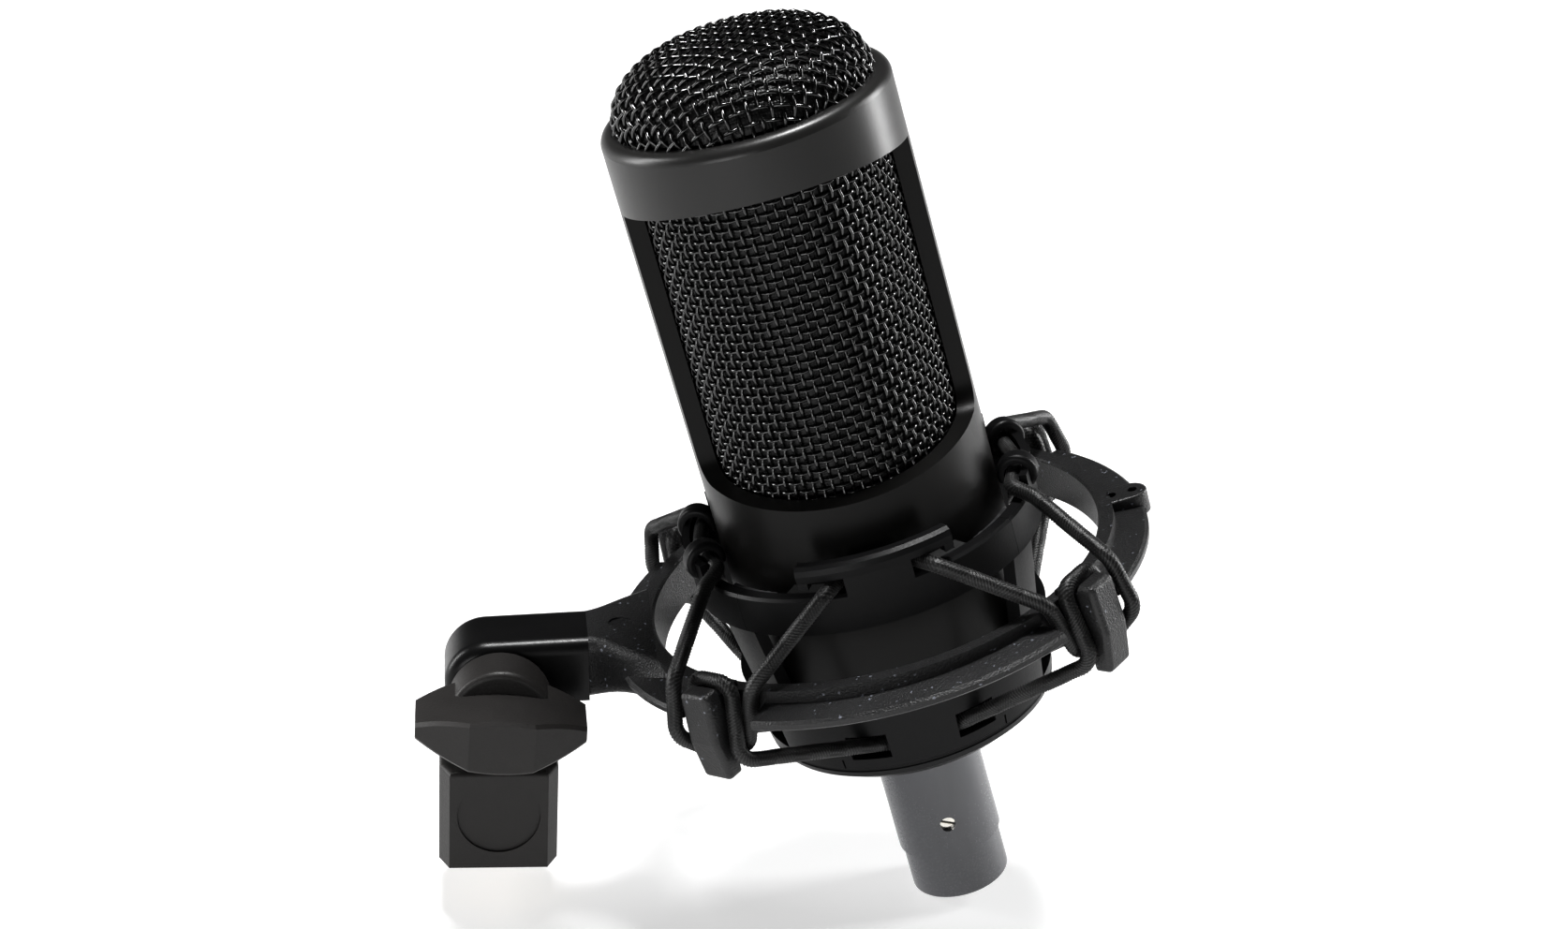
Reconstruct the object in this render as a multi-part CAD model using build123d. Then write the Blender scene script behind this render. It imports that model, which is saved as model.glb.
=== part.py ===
from build123d import *

import os
from math import atan2, cos, degrees, radians, sin

# Side-address condenser microphone held in an elastic shock mount with a swivel stand adapter.
# Millimetres, +Z up. The origin is the mouth of the stand thread, under the adapter block.
# The swivel axis is along Y and the microphone's front looks along -Y.
#
# The microphone, its cradle and the suspension ring share the MICROPHONE FRAME: its Z is the
# microphone's axis, its origin is the lower end of the connector, and every height H_ below is
# measured from there. place() tilts that frame about the swivel pin into the object's frame.

# ---- driving dimensions -------------------------------------------------------------------
TILT = 17.4             # lean of the microphone from vertical, degrees
PIVOT_Z = 34.5          # swivel pin above the stand thread's mouth
ARM_REACH = 72.5        # microphone axis to swivel pin
H_PIVOT = 67.2          # swivel pin's height in the microphone frame

BODY_R = 26.0           # microphone body, outside
HOUSING_WALL = 3.1
H_BASE = 57.3           # bottom of the housing, top of the base cone
H_SHOULDER = 160.3      # top edge of the head ring's cylindrical side
DOME_R = 23.7
DOME_RISE = 13.6        # dome top above the shoulder
DOME_POWER = 2.6        # superellipse exponent of the dome's outline
GRILLE_R = 22.7         # woven side grille, outside
GRILLE_T = 0.8
STRUT_HALF = 5.4        # half width of the two side struts
H_RING_EDGE = 148.1     # head ring's lower edge at the struts' middle
RING_EDGE_RISE = 0.142  # its rise per millimetre towards front and back
H_WINDOW = 98.7         # lower edge of the windows at the struts' middle
WINDOW_FALL = 0.185     # its fall per millimetre towards front and back

TUBE_R = 9.85           # connector tube
SHELL_R = 9.3           # connector end shell
SOCKET_R = 8.0
H_TUBE = 9.4            # lower end of the tube, where the shell stands out of it
H_SCREW = 16.5

BAND_R = 32.6           # cradle band, outside
BAND_T = 3.0
H_BAND = 73.0
H_BAND_TOP = 80.3
H_WING = 83.8           # underside of the tab wings
H_TAB_TOP = 86.7
STEM_HALF = 10.8        # half angles, degrees
WING_HALF = 25.0
SEAM_AZ = 50.6
HOOK_HALF = 22.0        # side hooks: half angle of the upright plate
HOOK_PLATE_R = (31.3, 32.75)
EYE_AZ = 14.7           # curls either side of the hook's middle
EYE_HALF = 1.75         # half width of a curl
EYE_R = 3.75
EYE_HOLLOW_R = 2.3
EYE_AT = (30.35, 82.7)  # radius and height of a curl's centre
CUP_R = 28.2
CUP_WALL_R = 26.4       # inside of the cup
H_CUP_TOP = 55.0
H_CUP = 36.7
LEG_AZ = 56.0
LEG_HALF = 7.0
SLOT_NEAR = 13.3        # cord slots in the cup, degrees from each tab's middle
SLOT_FAR = 29.0
H_SLOT = (43.7, 48.9)

RING_IN = 42.1          # suspension ring
RING_WALL = 45.0
RIM_R = 50.8
H_RING = 61.3
H_LIP = 69.4
H_RIM = (64.5, 66.6)
NOTCH_FRONT = 11.0      # flange's gap beside each post, towards front or back, degrees
NOTCH_SIDE = 8.0        # and towards the sides
POST_AZ = (45.0, 135.0, 225.0, 315.0)
POST_IN = 48.9
POST_OUT = 53.2
POST_HALF = 3.3
H_POST = (54.6, 71.9)
H_POST_BREAK = 62.6
NECK_HALF = 2.6
H_NECK = (61.3, 70.3)

CORD_R = 1.25           # braided elastic

KNOB_SPAN = 30.7        # wing knob
KNOB_FACE_Y = -28.2     # middle facet
KNOB_END_Y = -22.3      # front of the wing tips
KNOB_BACK_Y = -11.0     # back of the wings
KNOB_SEAT_Y = -8.6      # back of the hub
KNOB_TURN = 2.0         # wings out of level, degrees
HUB_R = 9.4
BOSS_R = 7.0            # yoke's boss under the knob washer
YOKE_RISE = 2.6         # arm above level, degrees
YOKE_HALF = 7.3         # yoke's half width along the pin
YOKE_R = 10.0
YOKE_END = 16.4         # seam between yoke and arm, from the pin
TONGUE_HALF = 3.4
TONGUE_R = 7.2
SLOT_GAP = 0.4          # around the tongue, in the yoke's slot
BOLT_R = 3.0
BLOCK_X = 11.0          # adapter block, half sizes
BLOCK_Y = 10.5
H_SHOULDERS = 20.0      # its top
THREAD_R = 7.45         # minor radius of a 5/8-27 thread
THREAD_L = 18.0

parts = {}


# ---- helpers ------------------------------------------------------------------------------
def place(shape):
    """From the microphone frame to the object's frame."""
    return Pos(0, 0, PIVOT_Z) * Rot(0, -TILT, 0) * Pos(ARM_REACH, 0, -H_PIVOT) * shape


def polar(az, r, h, side=0.0):
    """Point at azimuth az (0 in front, 90 to the right), radius r, height h, moved sideways."""
    a = radians(az)
    return (r * sin(a) + side * cos(a), -r * cos(a) + side * sin(a), h)


def turned(outline):
    """Solid of revolution about Z of a closed outline of (radius, height) points."""
    return revolve(Plane.XZ * make_face(Polyline(*outline, close=True)), Axis.Z, 360)


def tube(r_out, r_in, low, high):
    return Pos(0, 0, low) * (
        Cylinder(r_out, high - low, align=(Align.CENTER, Align.CENTER, Align.MIN))
        - Cylinder(r_in, high - low, align=(Align.CENTER, Align.CENTER, Align.MIN))
    )


def disc(r, low, high, x=0.0, y=0.0):
    up = (Align.CENTER, Align.CENTER, Align.MIN)
    return Pos(x, y, low) * Cylinder(r, high - low, align=up)


def wedge(az_low, az_high, low, high, reach=70.0):
    """Sector of a disc between two azimuths less than 180 degrees apart."""
    middle = (az_low + az_high) / 2
    far = reach / cos(radians((az_high - az_low) / 2))
    a = polar(az_low, far, 0)
    b = polar(middle, far * 1.2, 0)
    c = polar(az_high, far, 0)
    face = make_face(Polyline((0, 0), a[:2], b[:2], c[:2], close=True))
    return Pos(0, 0, low) * extrude(face, high - low)


def box(x, y, z):
    """Box between two limits along each axis."""
    size = (x[1] - x[0], y[1] - y[0], z[1] - z[0])
    middle = ((x[0] + x[1]) / 2, (y[0] + y[1]) / 2, (z[0] + z[1]) / 2)
    return Pos(*middle) * Box(*size)


def rod_y(r, y_low, y_high, x=0.0, z=0.0):
    """Cylinder along Y."""
    return Pos(x, (y_low + y_high) / 2, z) * Rot(90, 0, 0) * Cylinder(r, y_high - y_low)


def radial_rod(r, az, r_low, r_high, h):
    """Cylinder along the radius at azimuth az."""
    return Rot(0, 0, az) * rod_y(r, -r_high, -r_low, z=h)


# ---- microphone: shells -------------------------------------------------------------------
def head_zone():
    """Everything above the head ring's lower edge, which rises towards front and back."""
    far = 40
    top = H_RING_EDGE + RING_EDGE_RISE * far
    outline = ((-far, top), (0, H_RING_EDGE), (far, top), (far, 200), (-far, 200))
    return extrude(Plane.YZ * make_face(Polyline(*outline, close=True)), far, both=True)


def window_zone(sign):
    """One window opening seen from the side, with a rounded corner at the strut's foot."""
    far = 40
    near = H_WINDOW - WINDOW_FALL * STRUT_HALF
    outline = Polygon(
        (-STRUT_HALF, 170), (-STRUT_HALF, near), (-far, H_WINDOW - WINDOW_FALL * far), (-far, 170),
        align=None,
    )
    corner = outline.vertices().sort_by_distance((-STRUT_HALF, near))[0]
    outline = fillet(corner, 5)
    zone = extrude(Plane.YZ * outline, far, both=True)
    return zone if sign < 0 else mirror(zone, Plane.XZ)


def head_ring():
    shoulder_r = DOME_R + 0.2
    rise = 1.9
    side = Polyline((23.0, H_SHOULDER + rise), (23.0, 140), (BODY_R, 140), (BODY_R, H_SHOULDER))
    crown = ThreePointArc(
        (BODY_R, H_SHOULDER),
        (BODY_R - 0.65, H_SHOULDER + 1.3),
        (shoulder_r, H_SHOULDER + rise),
    )
    top = Line((shoulder_r, H_SHOULDER + rise), (23.0, H_SHOULDER + rise))
    return revolve(Plane.XZ * make_face(side + crown + top), Axis.Z, 360) & head_zone()


def dome_shell(shrink, thickness, low):
    """Shell under the dome's superellipse, shrunk inwards by a distance, from a height up."""
    def outline(offset, low):
        radius = DOME_R - offset
        rise = DOME_RISE - offset
        steps = 14
        points = []
        for i in range(steps + 1):
            z = low + (rise - low) * sin(radians(90 * i / steps))
            points.append((radius * max(0, 1 - (z / rise) ** DOME_POWER) ** (1 / DOME_POWER), z))
        return points

    outer = outline(shrink, low)
    inner = outline(shrink + thickness, low)
    base = H_SHOULDER
    lift = [(r, z + base) for r, z in outer]
    under = [(r, z + base) for r, z in inner]
    shell = (
        Spline(*lift)
        + Line(lift[-1], under[-1])
        + Spline(*under[::-1])
        + Line(under[0], lift[0])
    )
    return revolve(Plane.XZ * make_face(shell), Axis.Z, 360)


def dome_grille():
    skirt = tube(22.95, 22.15, 157.5, H_SHOULDER + 2.05)
    return dome_shell(0, GRILLE_T, 2.0) + skirt


def mic_housing():
    inner = BODY_R - HOUSING_WALL
    thin = BODY_R - 1.8
    body = turned([
        (BODY_R, H_BASE), (BODY_R, 165), (inner, 165), (inner, 88.0), (thin, 86.0), (thin, H_BASE),
    ])
    body = body - window_zone(-1) - window_zone(1) - head_zone()
    for x in SWITCH_X:
        body -= box((x - 1.9, x + 4.9), (20, 30), (88.4, 91.6))
    for az in BASE_SCREW_AZ:
        body -= radial_rod(1.25, az, 20, 30, 59.2)
    return body


def base_cone():
    cone = turned([
        (24.15, 61.0), (24.15, H_BASE), (BODY_R, H_BASE), (BODY_R, 56.5), (16.0, 46.3),
        (TUBE_R + 0.02, 46.3), (TUBE_R + 0.02, 50.0), (14.0, 50.0), (21.8, 58.0), (21.8, 61.0),
    ])
    for az in BASE_SCREW_AZ:
        cone -= radial_rod(1.25, az, 20, 30, 59.2)
    return cone


BASE_SCREW_AZ = (60, 180, 300)
SWITCH_X = (-8.5, 4.0)


def base_screws():
    screw = radial_rod(1.2, BASE_SCREW_AZ[0], 22.2, 25.7, 59.2)
    return [Rot(0, 0, az - BASE_SCREW_AZ[0]) * screw for az in BASE_SCREW_AZ]


def connector_tube():
    body = turned([
        (SHELL_R + 0.02, H_TUBE), (TUBE_R, H_TUBE), (TUBE_R, 50.0), (SOCKET_R, 50.0),
        (SOCKET_R, 22.2), (SHELL_R + 0.02, 22.2),
    ])
    return body - radial_rod(1.5, 0, 7, 12, H_SCREW)


def connector_shell():
    body = tube(SHELL_R, SOCKET_R, 0, 22.0)
    rim = body.edges().filter_by(GeomType.CIRCLE).group_by(Axis.Z)[0]
    return fillet(rim, 0.4) - radial_rod(1.45, 0, 7, 12, H_SCREW)


PIN_AZ = (60, -60, 180)


def xlr_insert():
    body = disc(SOCKET_R - 0.02, 14.5, 22.0)
    for az in PIN_AZ:
        x, y, _ = polar(az, 3.5, 0)
        body -= disc(1.22, 14, 23, x, y)
    return body - radial_rod(1.45, 0, 6.6, 12, H_SCREW)


def xlr_pins():
    made = []
    for az in PIN_AZ:
        x, y, _ = polar(az, 3.5, 0)
        pin = disc(1.2, 5.0, 26.0, x, y)
        tip = pin.edges().filter_by(GeomType.CIRCLE).group_by(Axis.Z)[0]
        made.append(fillet(tip, 0.9))
    return made


def set_screw():
    body = radial_rod(1.42, 0, 6.7, 9.0, H_SCREW)
    slot = Pos(0, -9.0, H_SCREW) * Rot(0, 28, 0) * Box(4, 1.1, 0.5)
    return body - slot


# ---- microphone: inside -------------------------------------------------------------------
H_CAPSULE = 124.0


def capsule_ring():
    ring = rod_y(18.0, -3.6, 3.6, z=H_CAPSULE) - rod_y(16.1, -4, 4, z=H_CAPSULE)
    return ring


def capsule_core():
    core = rod_y(15.2, -2.6, 2.6, z=H_CAPSULE) + rod_y(16.05, -0.8, 0.8, z=H_CAPSULE)
    return core


def diaphragm(sign):
    low, high = sorted((sign * 2.62, sign * 4.2))
    whole = rod_y(16.0, low, high, z=H_CAPSULE)
    low, high = sorted((sign * 3.4, sign * 5))
    return whole - rod_y(12.7, low, high, z=H_CAPSULE)


def capsule_post():
    post = box((-4, 4), (-2.6, 2.6), (94.02, H_CAPSULE - 14))
    foot = disc(9.0, 94.02, 96.0)
    return post + foot - rod_y(18.02, -6, 6, z=H_CAPSULE)


def head_plate():
    plate = disc(20.8, 92.0, 94.0)
    return plate - disc(2.0, 90, 95, 12, 0)


def chassis_rails():
    rail = box((17.2, 20.4), (-2.2, 2.2), (61.1, 91.9))
    return [rail, mirror(rail, Plane.YZ)]


def circuit_board():
    return box((-16.8, 16.8), (2.4, 4.0), (62.5, 90.5))


def board_parts():
    made = [rod_y(3.0, -5.4, 2.36, x=-9, z=82), rod_y(2.4, -4.0, 2.36, x=1, z=84)]
    made += [rod_y(3.6, -6.4, 2.36, x=9, z=70), rod_y(2.0, -3.0, 2.36, x=-4, z=70)]
    made += [box((-13, -7), (0.6, 2.36), (66, 74)), box((7, 13), (0.8, 2.36), (79, 86))]
    return made


def switch_carrier():
    plate = box((-12, 12), (17.6, 19.6), (86.8, 91.9))
    return plate & disc(22.6, 80, 100)


def slide_switch(x):
    """Switch button at its rest end; its stroke is towards +X."""
    button = box((x - 1.6, x + 1.6), (19.7, 24.6), (88.8, 91.2))
    ribs = box((x - 0.3, x + 0.3), (24.2, 25), (88, 92))
    return button - ribs


# ---- cradle -------------------------------------------------------------------------------
def band_ring():
    ring = tube(BAND_R, BAND_R - BAND_T, H_BAND, H_BAND_TOP)
    edges = ring.edges().filter_by(GeomType.CIRCLE).group_by(Axis.Z)[-1]
    return chamfer(edges, 0.5)


def t_tab():
    """Front tab: a stem, a wing over the cord on each side and a small hook at each tip."""
    stem = tube(BAND_R, 30.2, H_BAND_TOP - 1, H_WING + 1) & wedge(-STEM_HALF, STEM_HALF, 70, 95)
    wing = turned([
        (30.0, H_WING), (33.3, H_WING), (33.5, 85.2), (33.2, 86.2), (32.4, H_TAB_TOP),
        (30.8, H_TAB_TOP), (30.0, 86.0),
    ])
    wing &= wedge(-WING_HALF, WING_HALF, 70, 95)
    tip = tube(33.3, 31.0, 82.5, H_WING + 0.2)
    hooks = tip & wedge(WING_HALF - 3.2, WING_HALF, 70, 95)
    hooks += tip & wedge(-WING_HALF, 3.2 - WING_HALF, 70, 95)
    return stem + wing + hooks


def side_hook():
    """At azimuth 90: an upright plate outside the cord, with two curls over plate and cord."""
    plate = tube(HOOK_PLATE_R[1], HOOK_PLATE_R[0], H_BAND_TOP - 1.2, H_WING - 0.2)
    plate &= wedge(90 - HOOK_HALF, 90 + HOOK_HALF, 60, 100)
    ring = Circle(EYE_R) - Circle(EYE_HOLLOW_R)
    curl = extrude(Plane.YZ * Pos(-EYE_AT[0], EYE_AT[1]) * ring, EYE_HALF, both=True)
    curl = fillet([e for e in curl.edges() if e.length > 6.2 * (EYE_R - 0.1)], 0.9)
    curl -= box((-5, 5), (-40, 0), (60, H_BAND_TOP - 0.1))
    curl -= box((-5, 5), (0.7 - EYE_AT[0], 0), (60, H_BAND_TOP + 1.2))
    hook = plate
    for side in (-EYE_AZ, EYE_AZ):
        hook += Rot(0, 0, 90 + side) * curl
    return hook


def horn():
    """Pointed guide beside the hook that keeps the microphone central while it is put in."""
    blade = tube(28.0, 26.5, 74.0, 92.0) & wedge(108, 116, 70, 95)
    slope = Rot(0, 0, 112) * Pos(0, -27.4, 92.0) * Rot(0, 48, 0) * Box(14, 6, 8)
    foot = tube(29.7, 27.9, 74.0, 79.0) & wedge(108, 116, 70, 95)
    return blade - slope + foot


def cradle_front():
    band = band_ring() & wedge(-SEAM_AZ, SEAM_AZ, 70, 95)
    shell = band + t_tab()
    for az in (-SEAM_AZ + 5, SEAM_AZ - 5):
        shell -= radial_rod(1.3, az, 28, 31.5, 76.6)
    return shell


def cradle_rear():
    band = band_ring() - wedge(-SEAM_AZ - 0.15, SEAM_AZ + 0.15, 70, 95)
    right = side_hook() + horn()
    shell = band + Rot(0, 0, 180) * t_tab() + right + mirror(right, Plane.YZ)
    return shell


def lug_plates():
    """Joining plates behind the seams, one each side, screwed to the front shell."""
    plate = tube(29.55, 28.2, 74.0, 79.2) & wedge(SEAM_AZ - 11, SEAM_AZ + 11, 70, 95)
    plate -= radial_rod(1.3, SEAM_AZ - 5, 26, 35, 76.6)
    return [plate, mirror(plate, Plane.YZ)]


def cradle_screws():
    az = SEAM_AZ - 5
    screw = radial_rod(1.25, az, 28.0, 31.4, 76.6) + radial_rod(2.0, az, 27.2, 28.1, 76.6)
    return [screw, mirror(screw, Plane.YZ)]


def grip_pads():
    pad = tube(29.55, BODY_R + 0.3, 73.6, 79.8) & wedge(20, 34, 70, 95)
    rear = tube(29.55, BODY_R + 0.3, 73.6, 79.8) & wedge(140, 160, 70, 95)
    return [pad, mirror(pad, Plane.YZ), rear, mirror(rear, Plane.YZ)]


def cup_pad():
    """Soft collar on the cup's floor that the microphone's base stands on."""
    return tube(16.0, 11.6, 38.6, 46.28)


def cradle_cup():
    shell = turned([
        (31.9, H_BAND), (29.2, H_CUP_TOP), (CUP_R, 48.0), (27.4, 41.6), (27.0, 41.3), (27.0, 40.9),
        (27.2, 40.7), (26.6, 39.4), (22.7, H_CUP), (11.2, H_CUP), (11.2, 38.6), (21.6, 38.6),
        (25.2, 41.2), (CUP_WALL_R, 43.0), (CUP_WALL_R, 55.5), (29.4, H_BAND),
    ])
    gaps = ((-LEG_AZ + LEG_HALF, LEG_AZ - LEG_HALF), (LEG_AZ + LEG_HALF, 180 - LEG_AZ - LEG_HALF))
    for low, high in gaps:
        for turn in (0, 180):
            shell -= wedge(low + turn, high + turn, H_CUP_TOP, 80)
    for az in (0, 90, 180, 270):
        for near, far in ((SLOT_NEAR, SLOT_FAR), (-SLOT_FAR, -SLOT_NEAR)):
            shell -= wedge(az + near, az + far, *H_SLOT) - disc(24.5, 40, 50)
        for side in (-33.5, 33.5):
            seam = tube(29, 27.1, 40.8, 43.6) & wedge(az + side - 0.35, az + side + 0.35, 40, 44)
            shell -= seam
    return shell


# ---- suspension ring ----------------------------------------------------------------------
def outer_ring():
    lip = turned([
        (RING_IN, H_RING), (44.2, H_RING), (RING_WALL, 62.5), (RING_WALL, H_LIP),
        (RING_IN + 0.4, H_LIP), (RING_IN, H_LIP - 0.5),
    ])
    flange = turned([
        (44.0, H_RIM[0] + 0.2), (RIM_R - 0.9, H_RIM[0]), (RIM_R, H_RIM[0] + 0.7),
        (RIM_R, H_RIM[1] - 0.5), (RIM_R - 0.6, H_RIM[1]), (44.0, H_RIM[1] + 0.5),
    ])
    for az in POST_AZ:
        before, after = NOTCH_FRONT, NOTCH_SIDE
        if az in (135.0, 315.0):
            before, after = NOTCH_SIDE, NOTCH_FRONT
        flange -= wedge(az - before, az + after, 55, 80) - disc(RING_WALL - 0.5, 50, 80)
    ring = lip + flange
    for az in POST_AZ:
        ring += Rot(0, 0, az) * cord_post()
    low = H_RIM[0] + 0.2
    lobe = disc(3.1, low, H_LIP - 0.4, 48.9, 0) + box((44, 48.9), (-3.1, 3.1), (low, H_LIP - 0.4))
    lobe = fillet(lobe.edges().group_by(Axis.Z)[-1].filter_by(GeomType.CIRCLE), 0.5)
    ring += lobe
    for x in (45.4, 49.4):
        ring -= disc(0.9, H_RIM[0] + 1.5, 70, x, 0)
    return ring


def cord_post():
    """Post at azimuth 0: a tall block outside the ring on a neck, its face bent at mid height."""
    low, high = H_POST
    outline = [
        (-POST_OUT + 1.1, low), (-POST_OUT, H_POST_BREAK), (-POST_OUT + 0.9, high),
        (-POST_IN - 0.2, high), (-POST_IN, H_POST_BREAK), (-POST_IN - 0.2, low),
    ]
    block = extrude(Plane.YZ * make_face(Polyline(*outline, close=True)), POST_HALF, both=True)
    soft = [e for e in block.edges() if abs(e.center().Z - H_POST_BREAK) > 0.1]
    outside = [e for e in soft if e.center().Y < -POST_IN - 1.5]
    block = fillet(outside, 1.1)
    neck = box((-NECK_HALF, NECK_HALF), (-POST_IN - 0.5, -43.4), H_NECK)
    return block + neck


# ---- elastic loops ------------------------------------------------------------------------
def cord(route, radii):
    line = FilletPolyline(*route, radius=radii)
    start = Plane(origin=line @ 0, z_dir=line % 0)
    return sweep(start * Circle(CORD_R), path=line)


def loop_of(quarter):
    """A whole loop from the quarter between the front tab and the right hook."""
    half = quarter + mirror(quarter, Plane.XZ)
    return half + mirror(half, Plane.YZ)


def elastic_upper():
    """Behind each tab, over the ring's lip, under the post's neck and up outside the flange."""
    h = 82.0
    mid = 46.8
    route = [
        polar(0, 28.4, h), polar(12.6, 29.0, h), polar(16.8, 35.0, 81.9), polar(34.6, 46.9, 71.0),
        polar(45, mid, 59.6, -4.6), polar(45, mid, 56.4, 4.9), polar(45, 53.6, 63.6, 5.6),
        polar(45, 50.6, 73.2, 5.4), polar(61.8, 34.6, 81.2), polar(65.5, 29.9, 82.3),
        polar(78, 29.6, 82.3), polar(90, 29.7, 82.3),
    ]
    return cord(route, [2.6, 2.6, 4.5, 2.7, 2.9, 4.0, 4.0, 2.6, 2.4, 3.0])


def elastic_lower():
    """Behind the cup wall, out of a slot, up beside the post and over the neck."""
    h = 45.2
    over = H_NECK[1] + 0.35 + CORD_R
    mid = 46.75
    route = [
        polar(0, 24.7, h), polar(14.4, 25.1, h), polar(45, 50.4, 58.2, -5.0),
        polar(45, mid, over, -4.5), polar(45, mid, over, 4.5),
        polar(45, 46.9, 60.6, 5.2), polar(75.6, 25.1, h), polar(90, 24.7, h),
    ]
    return cord(route, [3.0, 3.6, 2.8, 2.8, 3.6, 3.0])


# ---- swivel -------------------------------------------------------------------------------
def yoke():
    """Hood on the end of the arm: two round ears joined by a roof, open below and behind."""
    outline = Polygon(
        (-YOKE_R, 0), (9.8, 0), (9.8, -1.9), (YOKE_END, -1.9), (YOKE_END, 10.2), (-YOKE_R, 9.9),
        align=None,
    )
    outline = fillet(outline.vertices().sort_by_distance((-YOKE_R, 9.9))[0], 8.0)
    block = extrude(Plane.XZ * outline, YOKE_HALF, both=True)
    roof = [
        e for e in block.edges()
        if e.center().Z > 1.0 and abs(e.center().Y) > YOKE_HALF - 0.1 and e.center().X < YOKE_END - 1
    ]
    block = fillet(roof, 2.6)
    block += rod_y(YOKE_R, -YOKE_HALF, YOKE_HALF) & box((-20, 20), (-20, 20), (-20, 0.1))
    half = TONGUE_HALF + 0.5
    reach = TONGUE_R + SLOT_GAP
    block -= rod_y(reach, -half, half)
    block -= box((-reach, reach), (-half, half), (-20, 0))
    block -= Rot(0, 48, 0) * box((-reach, 0), (-half, half), (-20, 0))
    block -= Rot(0, -38.5, 0) * box((0, reach), (-half, half), (-20, 0))
    block += rod_y(BOSS_R, -YOKE_HALF - 0.6, -YOKE_HALF + 0.2)
    block -= rod_y(BOLT_R + 0.04, -30, 30)
    block -= rod_y(5.6, YOKE_HALF - 2.0, 20)
    block -= box((TENON_X, 25), (-TENON_HALF, TENON_HALF), TENON_Z)
    for y in SCREW_Y:
        block -= disc(1.05, -4, 1, SCREW_X, y) + disc(1.9, -4, -0.7, SCREW_X, y)
    return block


TENON_X = 12.9
TENON_HALF = 4.6
TENON_Z = (0.6, 5.6)
SCREW_X = 14.3
SCREW_Y = (-2.5, 2.5)


def arm_section(x, top_half, low_half, low, high):
    outline = Polygon(
        (-low_half, low), (low_half, low), (top_half, high), (-top_half, high), align=None
    )
    return Plane.YZ.offset(x) * fillet(outline.vertices(), 2.3)


def yoke_arm():
    """Flared arm from the yoke's end face to the ring, with a tenon, about the pin."""
    arm = loft([
        arm_section(YOKE_END, 7.1, 7.1, -1.9, 10.2),
        arm_section(19.5, 8.6, 9.4, -0.4, 10.2),
        arm_section(23.0, 11.4, 13.2, 1.3, 10.0),
        arm_section(27.0, 14.0, 19.0, 2.3, 9.8),
        arm_section(32.5, 17.0, 26.0, 3.0, 10.2),
    ])
    arm += box((TENON_X, YOKE_END + 2), (-TENON_HALF, TENON_HALF), TENON_Z)
    for y in SCREW_Y:
        arm -= disc(1.05, 0, 4.2, SCREW_X, y)
    return arm - disc(2.4, 9.75, 12, 22.8, 0)


def swivel(shape):
    """From the yoke's own frame, its arm level, to the object's frame."""
    return Pos(0, 0, PIVOT_Z) * Rot(0, -YOKE_RISE, 0) * shape


def shock_ring():
    bore = place(disc(RING_IN + 0.4, 40, 90))
    return place(outer_ring()) + (swivel(yoke_arm()) - bore)


def yoke_screws():
    screw = disc(1.0, -1.0, 4.0, SCREW_X, 0) + disc(1.6, -1.9, -0.7, SCREW_X, 0)
    return [swivel(Pos(0, y, 0) * screw) for y in SCREW_Y]


def pivot_bolt():
    seat = YOKE_HALF - 2.0
    shank = rod_y(BOLT_R, -22.0, seat)
    head = rod_y(5.3, seat, seat + 1.7)
    drive = extrude(Plane.XZ.offset(-(seat + 0.6)) * RegularPolygon(2.3, 6), -3)
    return Pos(0, 0, PIVOT_Z) * (shank + head - drive)


def friction_washers():
    washer = rod_y(6.9, -TONGUE_HALF - 0.45, -TONGUE_HALF) - rod_y(BOLT_R + 0.1, -12, 0)
    return [Pos(0, 0, PIVOT_Z) * w for w in (washer, mirror(washer, Plane.XZ))]


def knob_washer():
    washer = rod_y(6.6, KNOB_SEAT_Y + 0.05, -YOKE_HALF - 0.6) - rod_y(BOLT_R + 0.04, -20, 0)
    return Pos(0, 0, PIVOT_Z) * washer


def wing_knob():
    """Wing knob; its front is three flat facets bowed towards the user."""
    half = KNOB_SPAN / 2
    plan = make_face(
        Polyline((-5.85, KNOB_FACE_Y), (5.85, KNOB_FACE_Y), (half, KNOB_END_Y), (half, -13.0),
                 (9.0, KNOB_BACK_Y), (-9.0, KNOB_BACK_Y), (-half, -13.0), (-half, KNOB_END_Y),
                 close=True)
    )
    bar = extrude(plan, 8, both=True)
    tip = half + 1
    lens = make_face(
        ThreePointArc((-tip, 1.0), (0, 5.35), (tip, 1.0)) + Line((tip, 1.0), (tip, -1.0))
        + ThreePointArc((tip, -1.0), (0, -5.35), (-tip, -1.0)) + Line((-tip, -1.0), (-tip, 1.0))
    )
    wing = bar & extrude(Plane.XZ * lens, 60, both=True)
    front = [e for e in wing.edges() if e.center().Y < KNOB_END_Y - 0.1 and abs(e.center().Z) > 0.9]
    wing = chamfer(front, 0.6)
    hub = rod_y(HUB_R, -17.0, KNOB_SEAT_Y)
    hub = fillet(hub.edges().group_by(Axis.Y)[0], 1.2)
    body = wing + hub - rod_y(4.5, INSERT_Y, 0)
    return Pos(0, 0, PIVOT_Z) * Rot(0, KNOB_TURN, 0) * body


INSERT_Y = -24.0


def knob_insert():
    sleeve = rod_y(4.5, INSERT_Y, KNOB_SEAT_Y) - rod_y(BOLT_R + 0.04, -30, 0)
    return Pos(0, 0, PIVOT_Z) * sleeve


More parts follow.
